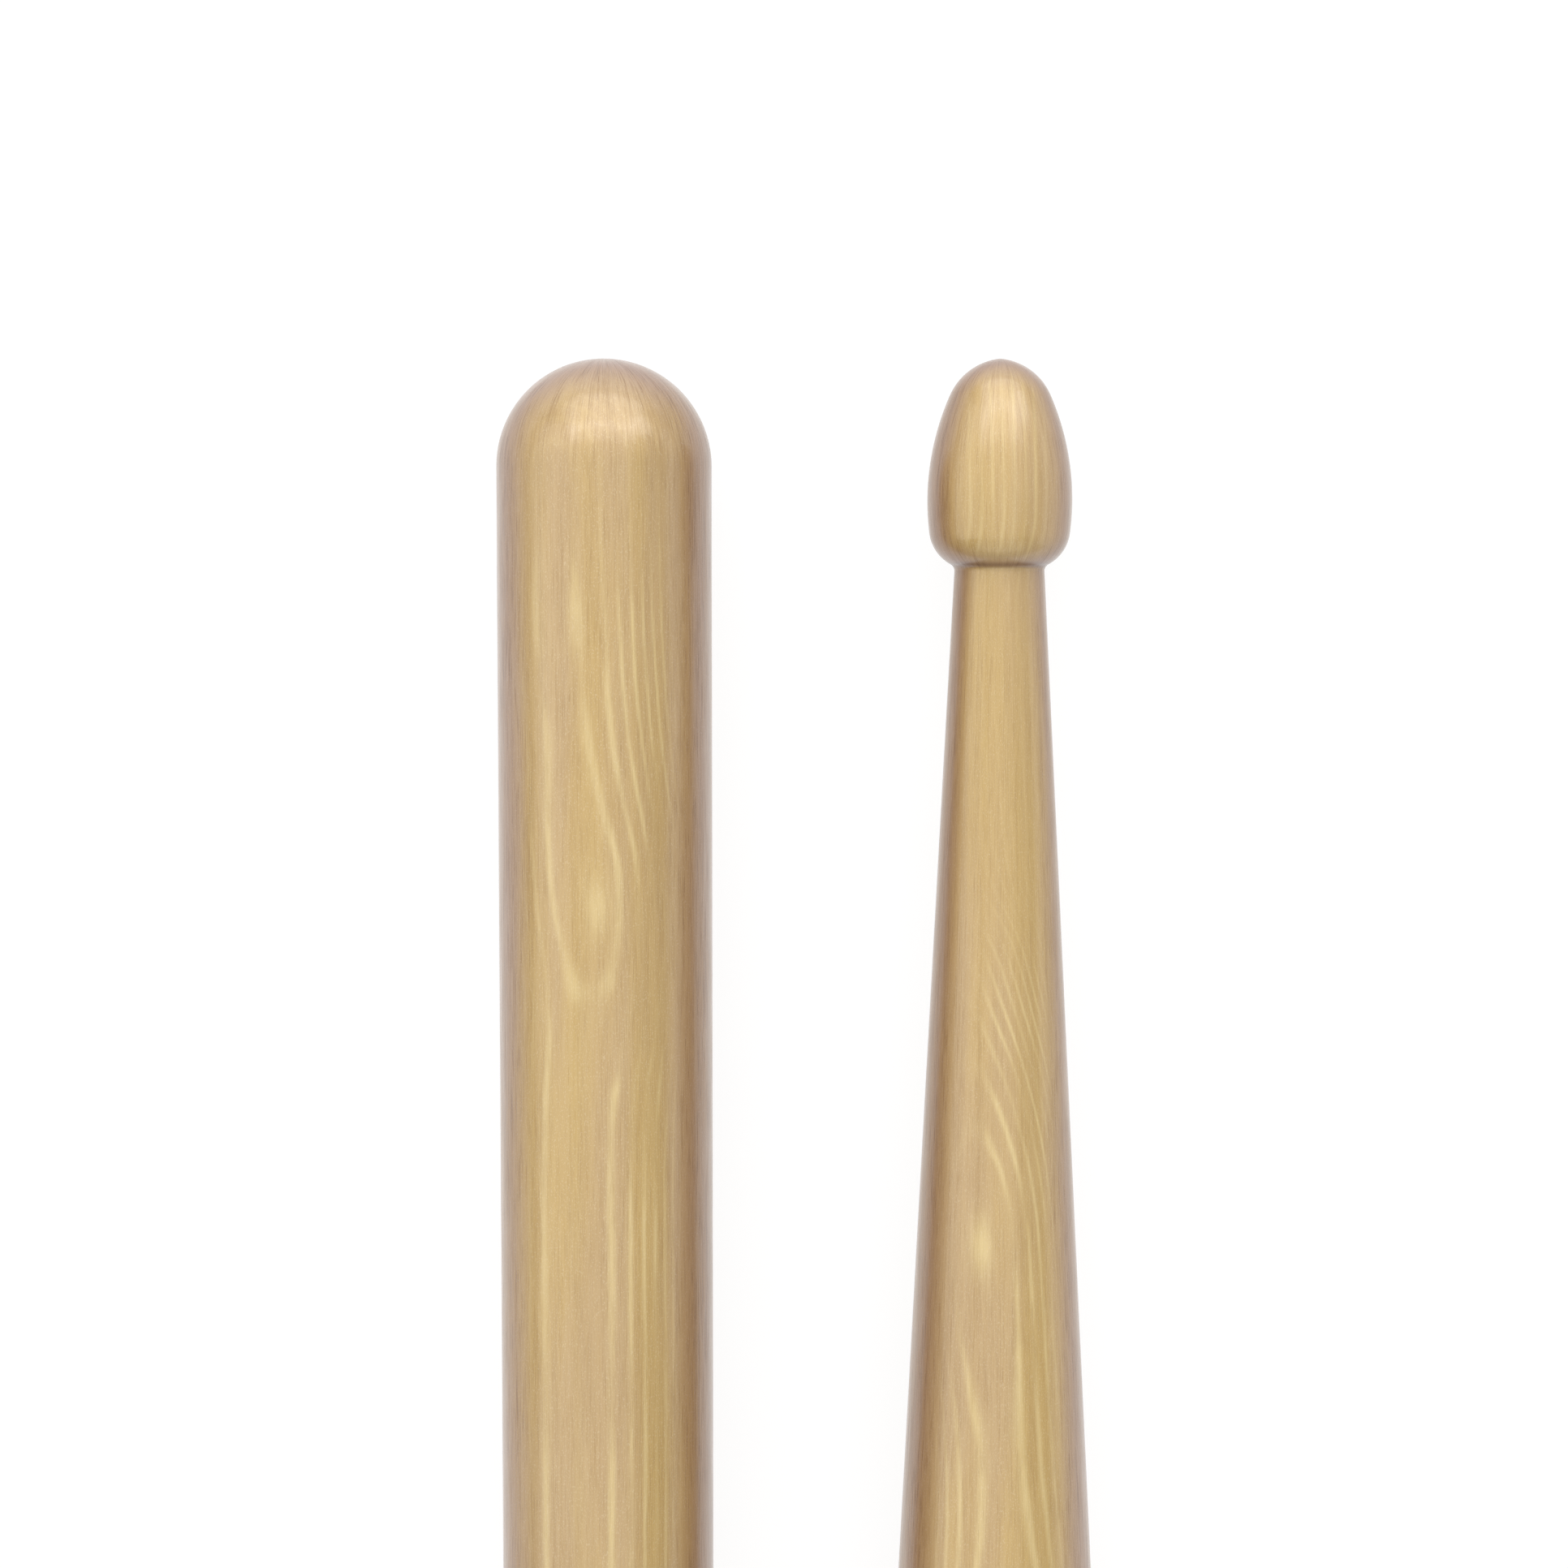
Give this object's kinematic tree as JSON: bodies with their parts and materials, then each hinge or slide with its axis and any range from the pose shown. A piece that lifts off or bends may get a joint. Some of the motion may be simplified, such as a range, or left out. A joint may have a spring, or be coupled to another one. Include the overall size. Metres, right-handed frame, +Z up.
{
  "type": "drumsticks",
  "caption": "Turned hickory drumsticks with full round butts, long tapered shoulders and acorn-shaped tips, for striking drums and cymbals.",
  "frame": {"origin": "on the surface that the sticks lie on, midway between the two sticks and at their mid length", "axes": "+X along the sticks, towards the left stick's butt and the right stick's tip; +Y from the right stick to the left one; +Z up"},
  "size_m": [0.4064, 0.0408, 0.0143],
  "materials": {
    "lacquered_hickory": "clear satin lacquer over straight-grained hickory"
  },
  "bodies": {
    "left_stick": {"left_drumstick": "lacquered_hickory"},
    "right_stick": {"right_drumstick": "lacquered_hickory"}
  },
  "joints": [
    {"name": "right_stick_lift", "type": "slide", "parent": "left_stick", "child": "right_stick", "axis": [0, 0, 1], "range_m": [0, 0.05]}
  ]
}
